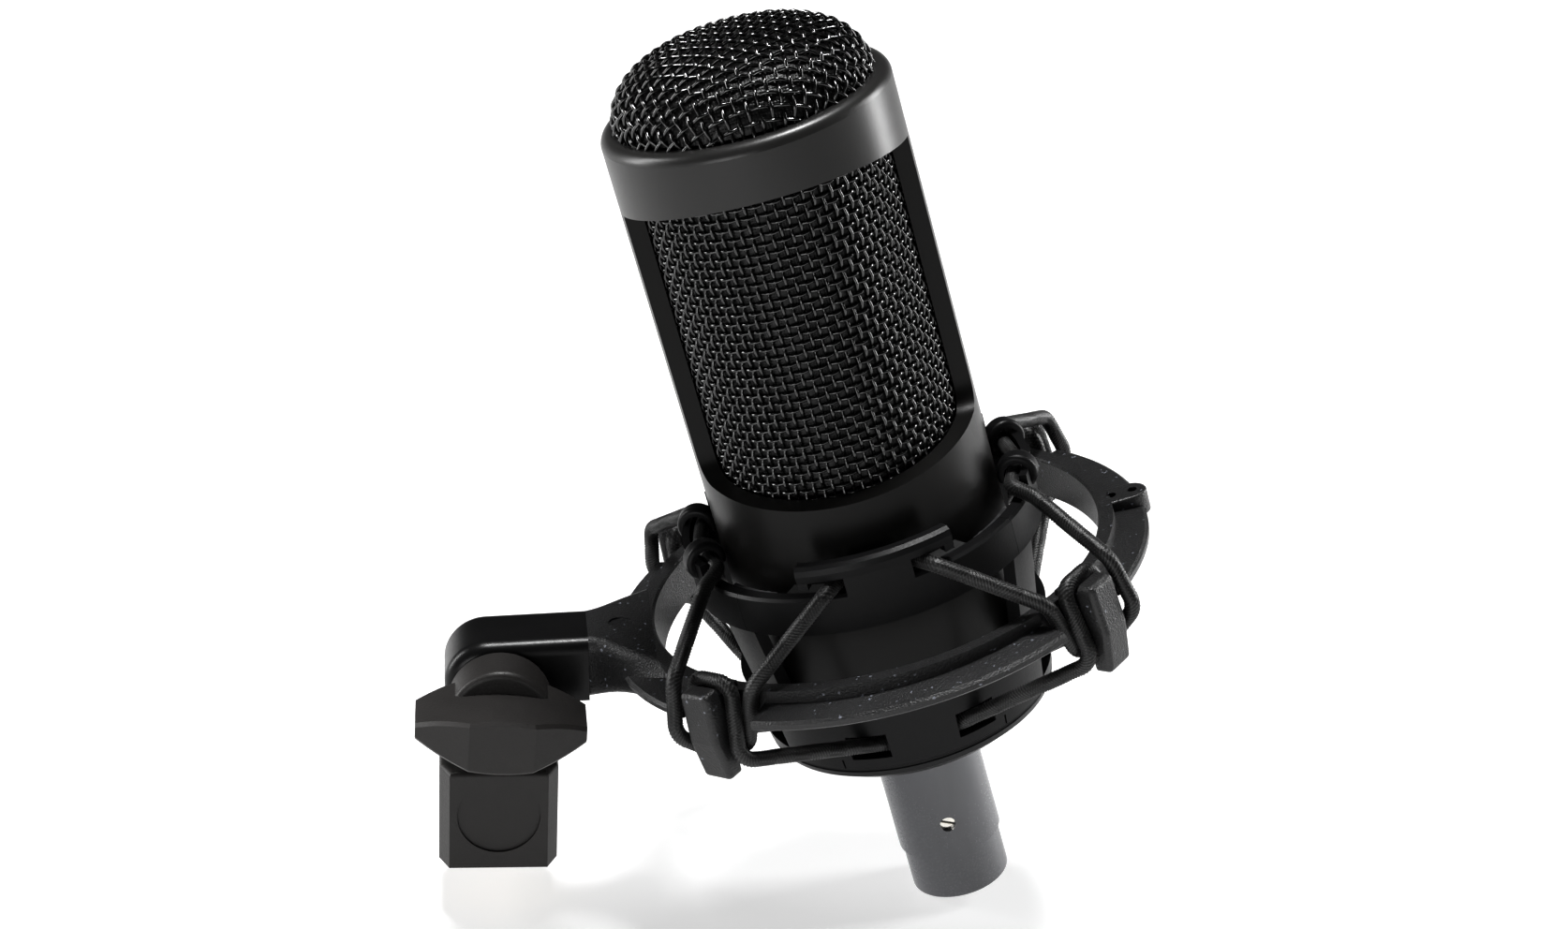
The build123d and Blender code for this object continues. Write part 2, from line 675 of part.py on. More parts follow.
def stand_adapter():
    corner_x = BLOCK_X - 1.9
    corner_y = BLOCK_Y - 4.0
    outline = Polyline(
        (corner_x, -BLOCK_Y), (BLOCK_X, -corner_y), (BLOCK_X, corner_y), (corner_x, BLOCK_Y),
        (-corner_x, BLOCK_Y), (-BLOCK_X, corner_y), (-BLOCK_X, -corner_y), (-corner_x, -BLOCK_Y),
        close=True,
    )
    block = extrude(make_face(outline), H_SHOULDERS)
    block = fillet(block.edges().group_by(Axis.Z)[-1], 1.0)
    waist = box(
        (-TONGUE_R, TONGUE_R), (-TONGUE_HALF, TONGUE_HALF), (H_SHOULDERS - 1, PIVOT_Z)
    )
    body = block + waist + rod_y(TONGUE_R, -TONGUE_HALF, TONGUE_HALF, z=PIVOT_Z)
    body -= rod_y(BOLT_R + 0.04, -20, 20, z=PIVOT_Z)
    body -= disc(9.0, -1, THREAD_L + 0.5)
    return body - rod_y(7.7, -BLOCK_Y - 1, -BLOCK_Y + 0.5, z=11.0)


def thread_insert():
    sleeve = disc(9.0, 0, THREAD_L + 0.5) - disc(THREAD_R, -1, THREAD_L)
    return sleeve


# ---- put together -------------------------------------------------------------------------
def store(name, shapes, tilted=True):
    """Keep one node, as one solid or as several loose ones."""
    found = shapes if isinstance(shapes, list) else [shapes]
    solids = []
    for shape in found:
        moved = place(shape) if tilted else shape
        solids += list(moved.solids())
    parts[name] = solids[0] if len(solids) == 1 else Compound(children=solids)


store("dome_grille", dome_grille())
store("dome_liner", dome_shell(GRILLE_T + 0.15, 0.5, 2.3))
store("head_ring", head_ring())
store("mic_housing", mic_housing())
store("side_grille", tube(GRILLE_R, GRILLE_R - GRILLE_T, 92.4, 157.0))
store("side_liner", tube(GRILLE_R - 0.95, GRILLE_R - 1.45, 95.0, 157.0))
store("capsule_core", capsule_core())
store("diaphragm_front", diaphragm(-1))
store("diaphragm_rear", diaphragm(1))
store("capsule_ring", capsule_ring())
store("capsule_post", capsule_post())
store("head_plate", head_plate())
store("chassis_rails", chassis_rails())
store("circuit_board", circuit_board())
store("board_parts", board_parts())
store("base_cone", base_cone())
store("base_screws", base_screws())
store("connector_tube", connector_tube())
store("connector_shell", connector_shell())
store("xlr_insert", xlr_insert())
store("xlr_pins", xlr_pins())
store("set_screw", set_screw())
store("switch_carrier", switch_carrier())
store("pad_switch", slide_switch(SWITCH_X[0]))
store("lowcut_switch", slide_switch(SWITCH_X[1]))
store("cradle_front", cradle_front())
store("cradle_rear", cradle_rear())
store("cradle_cup", cradle_cup())
store("cup_pad", cup_pad())
store("lug_plates", lug_plates())
store("cradle_screws", cradle_screws())
store("grip_pads", grip_pads())
store("elastic_upper", loop_of(elastic_upper()))
store("elastic_lower", loop_of(elastic_lower()))
store("shock_ring", shock_ring(), tilted=False)
store("yoke", swivel(yoke()), tilted=False)
store("yoke_screws", yoke_screws(), tilted=False)
store("pivot_bolt", pivot_bolt(), tilted=False)
store("friction_washers", friction_washers(), tilted=False)
store("knob_washer", knob_washer(), tilted=False)
store("wing_knob", wing_knob(), tilted=False)
store("knob_insert", knob_insert(), tilted=False)
store("stand_adapter", stand_adapter(), tilted=False)
store("thread_insert", thread_insert(), tilted=False)

os.makedirs("parts", exist_ok=True)
for name, shape in parts.items():
    export_step(shape, "parts/" + name + ".step")
    count = len(shape.solids())
    print(name, count, "solids", round(sum(s.volume for s in shape.solids())), "mm3")
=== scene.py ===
import bisect
import math

import bpy
from mathutils import Matrix, Vector


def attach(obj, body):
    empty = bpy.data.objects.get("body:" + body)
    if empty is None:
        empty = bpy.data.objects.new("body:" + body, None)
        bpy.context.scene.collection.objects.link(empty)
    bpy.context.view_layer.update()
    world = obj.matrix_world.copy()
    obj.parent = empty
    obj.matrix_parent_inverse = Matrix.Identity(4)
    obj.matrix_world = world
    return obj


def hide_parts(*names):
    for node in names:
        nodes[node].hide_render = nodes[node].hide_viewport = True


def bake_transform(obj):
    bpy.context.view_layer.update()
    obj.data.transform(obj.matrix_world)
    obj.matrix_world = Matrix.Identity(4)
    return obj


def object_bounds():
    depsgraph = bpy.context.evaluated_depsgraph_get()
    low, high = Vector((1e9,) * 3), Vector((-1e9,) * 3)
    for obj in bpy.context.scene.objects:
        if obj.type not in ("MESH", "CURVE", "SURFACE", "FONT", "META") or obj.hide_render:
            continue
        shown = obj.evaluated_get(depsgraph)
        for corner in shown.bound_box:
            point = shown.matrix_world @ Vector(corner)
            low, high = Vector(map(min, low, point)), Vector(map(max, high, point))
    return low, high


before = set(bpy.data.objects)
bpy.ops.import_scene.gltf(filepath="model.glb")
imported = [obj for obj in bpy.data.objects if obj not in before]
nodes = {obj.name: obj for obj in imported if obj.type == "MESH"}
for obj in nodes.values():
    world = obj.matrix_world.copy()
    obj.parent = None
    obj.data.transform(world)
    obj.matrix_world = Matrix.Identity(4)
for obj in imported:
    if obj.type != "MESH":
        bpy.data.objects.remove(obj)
cad_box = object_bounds()

# ---- the microphone's own frame ------------------------------------------------------------
# Millimetres: Z up the microphone's axis from the connector's lower end, azimuth 0 in front.
TILT = math.radians(17.4)
PIVOT_Z = 34.5
ARM_REACH = 72.5
H_PIVOT = 67.2
MM = 0.001


def mic(x, y, h):
    """Microphone frame in millimetres to the object's frame in metres."""
    px, pz = x + ARM_REACH, h - H_PIVOT
    c, s = math.cos(TILT), math.sin(TILT)
    return Vector((px * c - pz * s, y, PIVOT_Z + px * s + pz * c)) * MM


def polar(az, r, h, side=0.0):
    a = math.radians(az)
    x = r * math.sin(a) + side * math.cos(a)
    y = -r * math.cos(a) + side * math.sin(a)
    return Vector((x, y, h))


# ---- camera --------------------------------------------------------------------------------
camera = bpy.data.cameras.new("camera")
camera.lens = 72.67
camera.sensor_width = 36.0
camera.clip_start = 0.01
camera.clip_end = 20
camera_object = bpy.data.objects.new("camera", camera)
bpy.context.scene.collection.objects.link(camera_object)
right = Vector((0.99412, -0.09834, 0.04514))
up = Vector((-0.00205, 0.4, 0.91651))
back = -Vector((0.10819, 0.91122, -0.39745))
turn = Matrix((right, up, back)).transposed().to_4x4()
camera_object.matrix_world = Matrix.Translation(Vector((-11.06, -523.2, 305.70)) * MM) @ turn
bpy.context.scene.camera = camera_object


# ---- materials -----------------------------------------------------------------------------
class Graph:
    """A short way to write a node graph."""

    def __init__(self, name):
        self.material = bpy.data.materials.new(name)
        self.material.use_nodes = True
        self.tree = self.material.node_tree
        self.shader = self.tree.nodes["Principled BSDF"]
        self.coord = self.tree.nodes.new("ShaderNodeTexCoord")

    def node(self, kind):
        return self.tree.nodes.new(kind)

    def link(self, a, b):
        self.tree.links.new(a, b)

    def noise(self, scale, detail=4.0, rough=0.5, stretch=None):
        made = self.node("ShaderNodeTexNoise")
        made.inputs["Scale"].default_value = scale
        made.inputs["Detail"].default_value = detail
        made.inputs["Roughness"].default_value = rough
        if stretch:
            mapping = self.node("ShaderNodeMapping")
            mapping.inputs["Rotation"].default_value = (0, TILT, 0)
            mapping.inputs["Scale"].default_value = stretch
            self.link(self.coord.outputs["Object"], mapping.inputs["Vector"])
            self.link(mapping.outputs["Vector"], made.inputs["Vector"])
        else:
            self.link(self.coord.outputs["Object"], made.inputs["Vector"])
        return made.outputs["Fac"]

    def cells(self, scale):
        made = self.node("ShaderNodeTexVoronoi")
        made.inputs["Scale"].default_value = scale
        self.link(self.coord.outputs["Object"], made.inputs["Vector"])
        return made

    def ramp(self, source, stops):
        made = self.node("ShaderNodeValToRGB")
        ramp = made.color_ramp
        while len(ramp.elements) < len(stops):
            ramp.elements.new(0.5)
        for element, (at, colour) in zip(ramp.elements, stops):
            element.position = at
            element.color = (*colour, 1)
        self.link(source, made.inputs["Fac"])
        return made.outputs["Color"]

    def span(self, source, low, high, a=0.0, b=1.0):
        made = self.node("ShaderNodeMapRange")
        made.inputs["From Min"].default_value = a
        made.inputs["From Max"].default_value = b
        made.inputs["To Min"].default_value = low
        made.inputs["To Max"].default_value = high
        self.link(source, made.inputs["Value"])
        return made.outputs["Result"]

    def math(self, operation, a, b):
        made = self.node("ShaderNodeMath")
        made.operation = operation
        for socket, value in zip(made.inputs, (a, b)):
            if isinstance(value, (int, float)):
                socket.default_value = value
            else:
                self.link(value, socket)
        return made.outputs["Value"]

    def bump(self, height, distance, strength):
        made = self.node("ShaderNodeBump")
        made.inputs["Distance"].default_value = distance
        made.inputs["Strength"].default_value = strength
        self.link(height, made.inputs["Height"])
        return made.outputs["Normal"]

    def set(self, **values):
        for key, value in values.items():
            socket = self.shader.inputs[key.replace("_", " ")]
            if isinstance(value, (int, float, tuple)):
                socket.default_value = value
            else:
                self.link(value, socket)
        return self.material


def grained(name, dark, light, rough, grain=2600.0, depth=0.00004, spec=0.5):
    """Moulded or painted surface: fine grain, broad cloudiness and uneven gloss."""
    g = Graph(name)
    cloud = g.noise(45.0, 3.0)
    fine = g.noise(grain, 3.0, 0.6)
    colour = g.ramp(cloud, ((0.3, dark), (0.75, light)))
    blotches = g.math("ADD", g.math("MULTIPLY", fine, 0.5), g.math("MULTIPLY", cloud, 0.5))
    gloss = g.span(blotches, rough[0], rough[1], 0.3, 0.7)
    normal = g.bump(fine, depth, 0.6)
    g.set(Base_Color=colour, Roughness=gloss, Normal=normal)
    g.set(Specular_IOR_Level=spec)
    return g


def sparkling(name, dark, light, rough):
    """Coarse spark-eroded nylon; a few grains are glossier and carry painted glints, a pale bluish
    base colour standing in for their sparkle.
    """
    size = 2900.0
    share = 0.09
    g = Graph(name)
    lumps = g.noise(size, 2.0, 0.65)
    cell = g.cells(size * 0.9)
    cloud = g.noise(60.0, 3.0)
    colour = g.ramp(cloud, ((0.3, dark), (0.7, light)))
    glint = g.span(cell.outputs["Color"], 0, 1, 1 - share, 1 - share + 0.02)
    gloss = g.span(glint, rough[1], rough[0])
    height = g.math("ADD", lumps, g.math("MULTIPLY", cell.outputs["Distance"], 0.6))
    # Painted glints: the glint cells get a pale bluish base colour in place of the light sparkling
    # on them.
    painted_glint_colour = g.node("ShaderNodeMix")
    painted_glint_colour.data_type = "RGBA"
    g.link(glint, painted_glint_colour.inputs["Factor"])
    g.link(colour, painted_glint_colour.inputs[6])
    painted_glint_colour.inputs[7].default_value = (0.19, 0.2, 0.23, 1)
    g.set(Base_Color=painted_glint_colour.outputs[2], Roughness=gloss, Normal=g.bump(height, 0.0001, 0.9))
    g.set(Specular_IOR_Level=0.6)
    return g


# Painted light: the head ring gets a lighter, glossier copy of the black paint, standing in for the
# light the ring catches.
ring_paint_lit_copy = grained("ring_paint_lit_copy", (0.016, 0.0158, 0.0152), (0.022, 0.0215, 0.021), (0.30, 0.38),
                     2400, 0.000012, spec=0.5)
paint = grained("black_paint", (0.004, 0.0038, 0.0036), (0.007, 0.0066, 0.0063), (0.30, 0.38),
                2400, 0.000012, spec=0.24)
tube_paint = grained("tube_paint", (0.088, 0.090, 0.098), (0.096, 0.098, 0.106), (0.24, 0.29),
                     2400, 0.00001, spec=0.9)
wire = grained("black_wire", (0.002, 0.002, 0.002), (0.004, 0.004, 0.004), (0.12, 0.2),
               5200, 0.00001, spec=1.0)
nylon = grained("black_nylon", (0.004, 0.004, 0.0043), (0.008, 0.008, 0.0086), (0.34, 0.48),
                1900, 0.00003, spec=0.22)
smooth_nylon = grained("smooth_nylon", (0.004, 0.004, 0.0042), (0.008, 0.008, 0.0084), (0.26, 0.36),
                       1500, 0.00002, spec=0.28)
spark_nylon = sparkling("spark_nylon", (0.008, 0.008, 0.0084), (0.013, 0.013, 0.0136), (0.25, 0.42))
cast = grained("grey_cast", (0.020, 0.0185, 0.0178), (0.029, 0.027, 0.026), (0.40, 0.54),
               2100, 0.00006, spec=0.4)
soft = grained("soft_pad", (0.012, 0.012, 0.012), (0.02, 0.02, 0.02), (0.75, 0.9), 3000, 0.0001)
dark_plastic = grained("dark_plastic", (0.012, 0.012, 0.012), (0.02, 0.02, 0.02), (0.4, 0.5))


def metal(name, colour, rough, streak=(1, 1, 0.04), spread=0.08):
    """Bare metal with fine tool marks drawn out along one direction."""
    g = Graph(name)
    lines = g.noise(900.0, 3.0, 0.6, streak)
    shade = [tuple(c * k for c in colour) for k in (0.86, 1.0)]
    g.set(Base_Color=g.ramp(lines, ((0.35, shade[0]), (0.65, shade[1]))))
    g.set(Roughness=g.span(lines, rough, rough + spread, 0.3, 0.7))
    g.set(Normal=g.bump(lines, 0.000015, 0.4), Metallic=1.0)
    return g


nickel = metal("bright_nickel", (0.86, 0.84, 0.78), 0.12)
steel = metal("blackened_steel", (0.30, 0.30, 0.31), 0.32)
zinc = metal("zinc_plate", (0.62, 0.63, 0.65), 0.3)
brass = metal("turned_brass", (0.76, 0.58, 0.27), 0.22, (0.05, 0.05, 1))
gold = metal("gold_film", (0.92, 0.72, 0.34), 0.1, (1, 1, 1), 0.05)
amber = grained("capsule_plastic", (0.2, 0.19, 0.17), (0.27, 0.26, 0.24), (0.35, 0.5))
fibre = grained("washer_fibre", (0.16, 0.15, 0.13), (0.24, 0.22, 0.19), (0.7, 0.85), 1500, 0.00008)
board = grained("board_lacquer", (0.01, 0.09, 0.035), (0.02, 0.13, 0.05), (0.2, 0.35), 900)
component = grained("components", (0.03, 0.03, 0.06), (0.07, 0.07, 0.1), (0.3, 0.45))


def fine_mesh():
    """The very fine inner screen: crossed sets of hair-thin wires in the microphone's frame, with
    painted glints on the wires.
    """
    g = Graph("inner_screen")
    mapping = g.node("ShaderNodeMapping")
    mapping.inputs["Rotation"].default_value = (0, TILT, 0)
    g.link(g.coord.outputs["Object"], mapping.inputs["Vector"])
    heights = []
    for direction in ("X", "Y", "Z"):
        wave = g.node("ShaderNodeTexWave")
        wave.wave_type = "BANDS"
        wave.bands_direction = direction
        wave.inputs["Scale"].default_value = 620.0
        g.link(mapping.outputs["Vector"], wave.inputs["Vector"])
        heights.append(wave.outputs["Fac"])
    weave = g.math("MAXIMUM", g.math("MAXIMUM", heights[0], heights[1]), heights[2])
    # Painted glints: noise flecks lighten the wires' colour in spots, standing in for glints of
    # light on them.
    painted_glint_flecks = g.noise(700.0, 2.0)
    wires = g.span(weave, 0, 1, 0.82, 1.0)
    bright = g.math("MULTIPLY", wires, g.span(painted_glint_flecks, 0.1, 1, 0.45, 0.7))
    g.set(Base_Color=g.ramp(bright, ((0.0, (0.002, 0.002, 0.002)), (1.0, (0.03, 0.03, 0.03)))))
    g.set(Roughness=0.35, Normal=g.bump(weave, 0.0001, 0.8), Metallic=0.3)
    return g


screen = fine_mesh()


def braid_material():
    """Fibres of the yarns; the braid itself is in the mesh, its height in the layer "braid", which
    paints the crowns lighter and the gaps darker: painted highlight and painted shade.
    """
    g = Graph("elastic_braid")
    shade = g.node("ShaderNodeVertexColor")
    shade.layer_name = "braid"
    fibre_noise = g.noise(5200.0, 3.0, 0.7)
    cloud = g.noise(120.0, 2.0)
    braid_painted_shade_and_tone = g.math("MULTIPLY", shade.outputs["Color"], g.span(cloud, 0.75, 1.1, 0.3, 0.7))
    # Painted light and shade: near-black gaps between the yarns and light crowns where light would
    # catch them; the cloud noise adds random tone.
    painted_gap_shade, flanks, painted_crown_highlight = (0.002, 0.002, 0.002), (0.003, 0.003, 0.003), (0.08, 0.08, 0.08)
    g.set(Base_Color=g.ramp(braid_painted_shade_and_tone, ((0.0, painted_gap_shade), (0.6, flanks), (1.0, painted_crown_highlight))))
    g.set(Roughness=g.span(fibre_noise, 0.3, 0.5, 0.3, 0.7))
    g.set(Normal=g.bump(fibre_noise, 0.00006, 0.7), Sheen_Weight=0.04, Sheen_Roughness=0.5)
    return g


braid = braid_material()


def paint_node(name, graph):
    slots = nodes[name].data.materials
    if len(slots) == 0:
        slots.append(graph.material)
    for i in range(len(slots)):
        slots[i] = graph.material


looks = {
    ring_paint_lit_copy: "head_ring",
    paint: "mic_housing base_cone",
    tube_paint: "connector_tube connector_shell",
    wire: "dome_grille side_grille",
    screen: "dome_liner side_liner",
    nylon: "cradle_front cradle_rear cradle_cup",
    smooth_nylon: "yoke",
    spark_nylon: "shock_ring",
    cast: "stand_adapter wing_knob",
    soft: "grip_pads cup_pad",
    dark_plastic: "capsule_post xlr_insert switch_carrier pad_switch lowcut_switch",
    nickel: "set_screw xlr_pins",
    steel: "lug_plates cradle_screws yoke_screws pivot_bolt knob_washer",
    zinc: "head_plate chassis_rails base_screws",
    brass: "knob_insert thread_insert capsule_core",
    gold: "diaphragm_front diaphragm_rear",
    amber: "capsule_ring",
    fibre: "friction_washers",
    board: "circuit_board",
    component: "board_parts",
    braid: "elastic_upper elastic_lower",
}
for graph, names in looks.items():
    for name in names.split():
        paint_node(name, graph)


# ---- mesh helpers --------------------------------------------------------------------------
def new_mesh(name, points, faces, material, smooth=True):
    mesh = bpy.data.meshes.new(name)
    mesh.from_pydata([tuple(p) for p in points], [], faces)
    mesh.validate()
    mesh.update()
    if smooth:
        mesh.polygons.foreach_set("use_smooth", [True] * len(mesh.polygons))
    mesh.materials.append(material)
    made = bpy.data.objects.new(name, mesh)
    bpy.context.scene.collection.objects.link(made)
    return made


def frames_along(path, closed):
    """Tangent and two normals at each point, carried along without twist."""
    count = len(path)
    tangents = []
    for i in range(count):
        a = path[i - 1] if (i > 0 or closed) else path[i]
        b = path[(i + 1) % count] if (i < count - 1 or closed) else path[i]
        tangents.append((b - a).normalized())
    normal = tangents[0].orthogonal().normalized()
    out = []
    for tangent in tangents:
        normal = (normal - tangent * normal.dot(tangent)).normalized()
        out.append((tangent, normal, tangent.cross(normal)))
    return out


def add_wire(points, faces, path, radius, sides, closed=False):
    """Adds one round wire along a path to a list of points and faces."""
    start = len(points)
    for p, (_, n, b) in zip(path, frames_along(path, closed)):
        for k in range(sides):
            a = 2 * math.pi * k / sides
            points.append(p + (n * math.cos(a) + b * math.sin(a)) * radius)
    rings = len(path)
    for i in range(rings if closed else rings - 1):
        j = (i + 1) % rings
        for k in range(sides):
            m = (k + 1) % sides
            faces.append((start + i * sides + k, start + i * sides + m,
                          start + j * sides + m, start + j * sides + k))
    if not closed:
        faces.append(tuple(start + k for k in reversed(range(sides))))
        faces.append(tuple(start + (rings - 1) * sides + k for k in range(sides)))


# ---- woven grilles -------------------------------------------------------------------------
H_SHOULDER = 160.3
DOME_R = 23.7
DOME_RISE = 13.6
DOME_POWER = 2.6
WIRE_R = 0.33
DOME_PITCH = 2.08
SHEET_R = 28.2          # radius of the flat sheet before it is pressed
PROFILE_STEPS = 1200
CRIMP = 0.95            # a wire's swing to either side, as a share of its radius


def dome_profile():
    """Radius, height above the shoulder and arc length at small steps from the crown."""
    rows = [(0.0, DOME_RISE, 0.0)]
    for i in range(1, PROFILE_STEPS + 1):
        a = math.pi / 2 * i / PROFILE_STEPS
        r = DOME_R * math.sin(a) ** (2 / DOME_POWER)
        z = DOME_RISE * max(0.0, math.cos(a)) ** (2 / DOME_POWER)
        last = rows[-1]
        rows.append((r, z, last[2] + math.hypot(r - last[0], z - last[1])))
    return rows


def dome_wires():
    """A flat woven sheet pressed over the dome, stretched evenly more towards its rim."""
    points, faces = [], []
    rows = dome_profile()
    meridian = rows[-1][2]
    stretch = (meridian - SHEET_R) / SHEET_R ** 3
    lengths = [row[2] for row in rows]

    def pressed(u, v, lift):
        """Point of the sheet on the dome, moved out along the dome's normal by lift."""
        rho = math.hypot(u, v)
        s = min(meridian, rho + stretch * rho ** 3)
        j = min(len(rows) - 2, max(0, bisect.bisect_right(lengths, s) - 1))
        (r0, z0, s0), (r1, z1, s1) = rows[j], rows[j + 1]
        part = (s - s0) / (s1 - s0)
        dr, dz = (r1 - r0) / (s1 - s0), (z1 - z0) / (s1 - s0)
        r = r0 + (r1 - r0) * part - dz * lift
        z = z0 + (z1 - z0) * part + dr * lift
        k = r / max(rho, 1e-6)
        return Vector((u * k, v * k, z + H_SHOULDER))

    inset = WIRE_R * 2
    count = int(SHEET_R / DOME_PITCH)
    for family in (0, 1):
        for k in range(-count, count + 1):
            across = k * DOME_PITCH
            edge = math.sqrt(max(0, SHEET_R ** 2 - across ** 2))
            steps = max(8, round(2 * edge / (DOME_PITCH / 6)))
            path = []
            for i in range(steps + 1):
                t = -edge + 2 * edge * i / steps
                swing = math.cos(math.pi * (t / DOME_PITCH + k + family))
                lift = WIRE_R * CRIMP * swing - inset
                u, v = (t, across) if family == 0 else (across, t)
                path.append(pressed(u, v, lift))
            add_wire(points, faces, path, WIRE_R, 8)
    return [mic(*p) for p in points], faces


points, faces = dome_wires()
dome_weave = new_mesh("dome_weave", points, faces, wire.material)
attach(dome_weave, "mic")
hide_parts("dome_grille")

GRILLE_R = 22.7
H_GRILLE = (92.6, 156.8)
UPRIGHTS = 82
SIDE_WIRE_R = 0.29


def side_wires():
    """Upright wires and closed hoops that pass over and under each other in turn."""
    points, faces = [], []
    mid = GRILLE_R - 2 * SIDE_WIRE_R
    low, high = H_GRILLE
    pitch = 2 * math.pi * mid / UPRIGHTS
    rows = int((high - low) / pitch)
    step = (high - low) / rows
    for k in range(UPRIGHTS):
        az = 360 * k / UPRIGHTS
        path = []
        for i in range(rows * 4 + 1):
            t = i / 4
            r = mid + SIDE_WIRE_R * CRIMP * math.cos(math.pi * (t + k))
            path.append(polar(az, r, low + t * step))
        add_wire(points, faces, path, SIDE_WIRE_R, 6)
    for j in range(1, rows):
        path = []
        for i in range(UPRIGHTS * 4):
            t = i / 4
            r = mid - SIDE_WIRE_R * CRIMP * math.cos(math.pi * (t + j))
            path.append(polar(360 * t / UPRIGHTS, r, low + j * step))
        add_wire(points, faces, path, SIDE_WIRE_R, 6, closed=True)
    return [mic(*p) for p in points], faces


points, faces = side_wires()
side_weave = new_mesh("side_weave", points, faces, wire.material)
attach(side_weave, "mic")
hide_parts("side_grille")


# ---- braided elastic -----------------------------------------------------------------------
def rounded(route, radii, step=0.3):
    """Points along a polyline whose inner corners are rounded."""
    out = [route[0]]
    pieces = []
    last = route[0]
    for corner, radius, after in zip(route[1:-1], radii, route[2:]):
        a = (last - corner).normalized()
        b = (after - corner).normalized()
        half = a.angle(b) / 2
        reach = radius / math.tan(half)
        p, q = corner + a * reach, corner + b * reach
        centre = corner + (a + b).normalized() * (radius / math.sin(half))
        pieces.append((p, q, centre, radius))
        last = corner
    here = route[0]
    for p, q, centre, radius in pieces:
        steps = max(1, round((p - here).length / step))
        out += [here.lerp(p, (i + 1) / steps) for i in range(steps)]
        u, v = (p - centre), (q - centre)
        angle = u.angle(v)
        bends = max(3, round(angle * radius / step))
        axis = u.cross(v).normalized()
        for i in range(bends):
            out.append(centre + Matrix.Rotation(angle * (i + 1) / bends, 3, axis) @ u)
        here = q
    steps = max(1, round((route[-1] - here).length / step))
    out += [here.lerp(route[-1], (i + 1) / steps) for i in range(steps)]
    return out


def whole_loop(quarter):
    """Closed loop from the quarter between azimuth 0 and 90."""
    rear = [Vector((p.x, -p.y, p.z)) for p in reversed(quarter)]
    half = quarter + rear[1:]
    other = [Vector((-p.x, p.y, p.z)) for p in reversed(half)]
    return half + other[1:-1]


CORD_R = 1.25
YARNS = 8
LAY = 4.7               # length in which a yarn goes once round the cord
RING_STEP = 0.2
SIDES_PER_YARN = 4


def braided(name, loop, node):
    """Tube whose skin carries a braid of flat yarns, stretched between the two heights."""
    length = sum((b - a).length for a, b in zip(loop, loop[1:] + loop[:1]))
    turns = round(length / LAY)
    sides = YARNS * SIDES_PER_YARN
    rings = int(length / RING_STEP)
    # even spacing round the loop
    closed = loop + [loop[0]]
    spans = [0.0]
    for a, b in zip(closed, closed[1:]):
        spans.append(spans[-1] + (b - a).length)
    path = []
    j = 0
    for i in range(rings):
        want = length * i / rings
        while spans[j + 1] < want:
            j += 1
        part = (want - spans[j]) / max(1e-9, spans[j + 1] - spans[j])
        path.append(closed[j].lerp(closed[j + 1], part))
    axes = frames_along(path, True)
    # spread the frame's leftover twist over the loop so that the braid closes
    t0, n0, _ = axes[0]
    _, nn, _ = axes[-1]
    n_end = (nn - t0 * nn.dot(t0)).normalized()
    twist = math.atan2(n_end.cross(n0).dot(t0), n_end.dot(n0))
    points, faces, painted_braid_shades = [], [], []
    for i, (p, (t, n, b)) in enumerate(zip(path, axes)):
        share = i / rings
        for k in range(sides):
            a = 2 * math.pi * k / sides
            seen = a + twist * share
            u = a / (2 * math.pi) * YARNS
            v = share * turns * YARNS
            left, right = (u + v), (u - v)
            fl, fr = left - math.floor(left), right - math.floor(right)
            over = (math.floor(left) + math.floor(right)) % 2
            near = fl if over == 0 else fr
            height = math.sin(math.pi * near)
            cross = math.sin(math.pi * (fr if over == 0 else fl)) ** 0.7
            bulge = height * (0.55 + 0.45 * cross)
            radius = CORD_R * (0.93 + 0.25 * bulge)
            points.append(p + (n * math.cos(seen) + b * math.sin(seen)) * radius)
            # The yarns' height is stored for painted shade and highlight: low in the gaps, high on
            # the crowns.
            painted_braid_shades.append(0.15 + 0.85 * bulge)
    for i in range(rings):
        j = (i + 1) % rings
        for k in range(sides):
            m = (k + 1) % sides
            faces.append((i * sides + k, i * sides + m, j * sides + m, j * sides + k))
    made = new_mesh(name, [mic(*p) for p in points], faces, braid.material)
    layer = made.data.color_attributes.new("braid", "FLOAT_COLOR", "POINT")
    layer.data.foreach_set("color", [c for s in painted_braid_shades for c in (s, s, s, 1)])
    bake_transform(made)
    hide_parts(node)
    return made


H_NECK = (61.3, 70.3)
h = 82.0
upper_route = [
    polar(0, 28.4, h), polar(12.6, 29.0, h), polar(16.8, 35.0, 81.9), polar(34.6, 46.9, 71.0),
    polar(45, 46.8, 59.6, -4.6), polar(45, 46.8, 56.4, 4.9), polar(45, 53.6, 63.6, 5.6),
    polar(45, 50.6, 73.2, 5.4), polar(61.8, 34.6, 81.2), polar(65.5, 29.9, 82.3),
    polar(78, 29.6, 82.3), polar(90, 29.7, 82.3),
]
h = 45.2
over = H_NECK[1] + 0.35 + CORD_R
lower_route = [
    polar(0, 24.7, h), polar(14.4, 25.1, h), polar(45, 50.4, 58.2, -5.0),
    polar(45, 46.75, over, -4.5), polar(45, 46.75, over, 4.5),
    polar(45, 46.9, 60.6, 5.2), polar(75.6, 25.1, h), polar(90, 24.7, h),
]
upper_loop = whole_loop(rounded(upper_route, [2.6, 2.6, 4.5, 2.7, 2.9, 4.0, 4.0, 2.6, 2.4, 3.0]))
lower_loop = whole_loop(rounded(lower_route, [3.0, 3.6, 2.8, 2.8, 3.6, 3.0]))
braided("elastic_upper_braid", upper_loop, "elastic_upper")
braided("elastic_lower_braid", lower_loop, "elastic_lower")


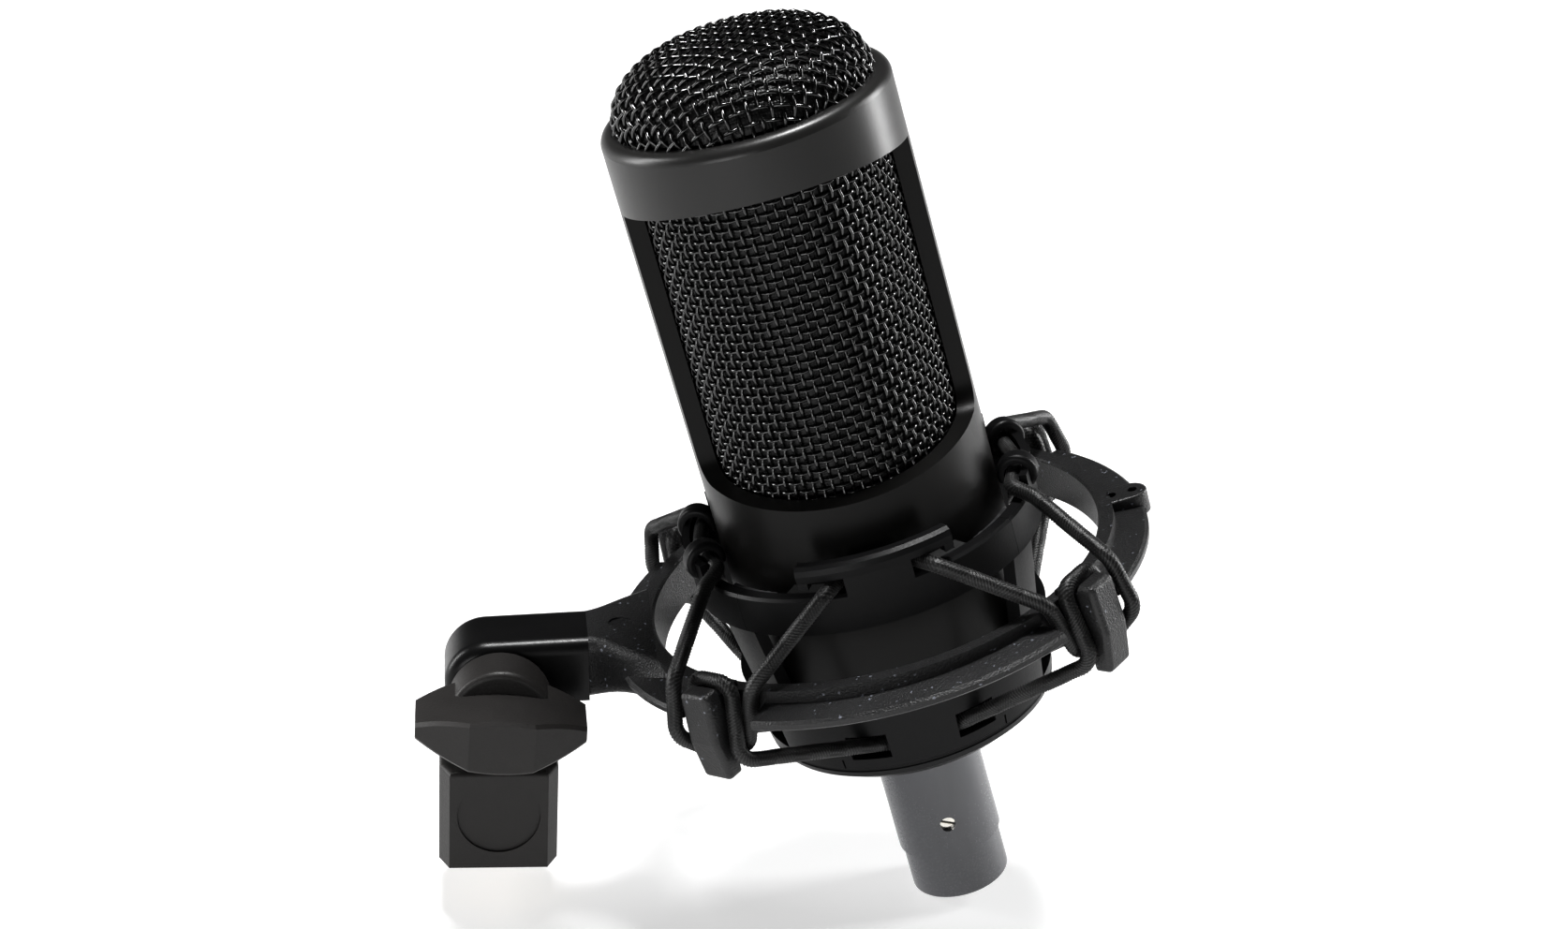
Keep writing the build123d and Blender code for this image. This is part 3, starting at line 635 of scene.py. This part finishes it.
# ---- stage and light -----------------------------------------------------------------------
def plane(name, size, z, material):
    half = size / 2
    points = [(-half, -half, z), (half, -half, z), (half, half, z), (-half, half, z)]
    return new_mesh(name, points, [(0, 1, 2, 3)], material, smooth=False)


floor_look = Graph("floor_white")
floor_stops = ((0.2, (0.44, 0.44, 0.44)), (0.8, (0.46, 0.46, 0.46)))
floor_tone = floor_look.ramp(floor_look.noise(3.0), floor_stops)
floor_look.set(Base_Color=floor_tone, Roughness=0.7, Specular_IOR_Level=0.2)
floor_look.set(Emission_Color=(1.0, 1.0, 1.0, 1.0), Emission_Strength=0.66)
floor = plane("floor", 8.0, cad_box[0][2] - 0.0002, floor_look.material)


def surroundings():
    """Studio that is bright along the horizon, a little less in front, and dark overhead."""
    world = bpy.data.worlds.new("studio")
    bpy.context.scene.world = world
    world.use_nodes = True
    tree = world.node_tree
    coord = tree.nodes.new("ShaderNodeTexCoord")
    split = tree.nodes.new("ShaderNodeSeparateXYZ")
    tree.links.new(coord.outputs["Generated"], split.inputs["Vector"])
    shares = []
    fades = (("Y", -0.6, 0.3, 0.6, 1.0), ("Z", 0.02, 0.14, 0.8, 0.04))
    for axis, start, end, low, high in fades:
        fade = tree.nodes.new("ShaderNodeMapRange")
        fade.inputs["From Min"].default_value = start
        fade.inputs["From Max"].default_value = end
        fade.inputs["To Min"].default_value = low
        fade.inputs["To Max"].default_value = high
        tree.links.new(split.outputs[axis], fade.inputs["Value"])
        shares.append(fade.outputs["Result"])
    both = tree.nodes.new("ShaderNodeMath")
    both.operation = "MULTIPLY"
    tree.links.new(shares[0], both.inputs[0])
    tree.links.new(shares[1], both.inputs[1])
    shade = tree.nodes["Background"]
    tree.links.new(both.outputs["Value"], shade.inputs["Strength"])
    shade.inputs["Color"].default_value = (1, 1, 1, 1)


surroundings()


def softbox(name, at, towards, size, power):
    data = bpy.data.lights.new(name, "AREA")
    data.shape = "RECTANGLE"
    data.size, data.size_y = size
    data.energy = power
    made = bpy.data.objects.new(name, data)
    bpy.context.scene.collection.objects.link(made)
    made.location = at
    made.rotation_euler = (Vector(towards) - Vector(at)).to_track_quat("-Z", "Y").to_euler()
    return made


centre = (0.06, 0, 0.08)
softbox("overhead", (0.0, 0.12, 1.2), centre, (0.24, 0.24), 17)
softbox("rim_left", (-0.9, 0.25, 0.35), centre, (0.25, 0.7), 8)
softbox("rim_right", (1.0, 0.3, 0.4), centre, (0.25, 0.7), 12)
softbox("front_left", (-0.42, -0.95, 0.16), centre, (0.5, 0.2), 2.6)

bpy.context.scene.view_settings.view_transform = "Standard"
bpy.context.scene.view_settings.gamma = 0.82
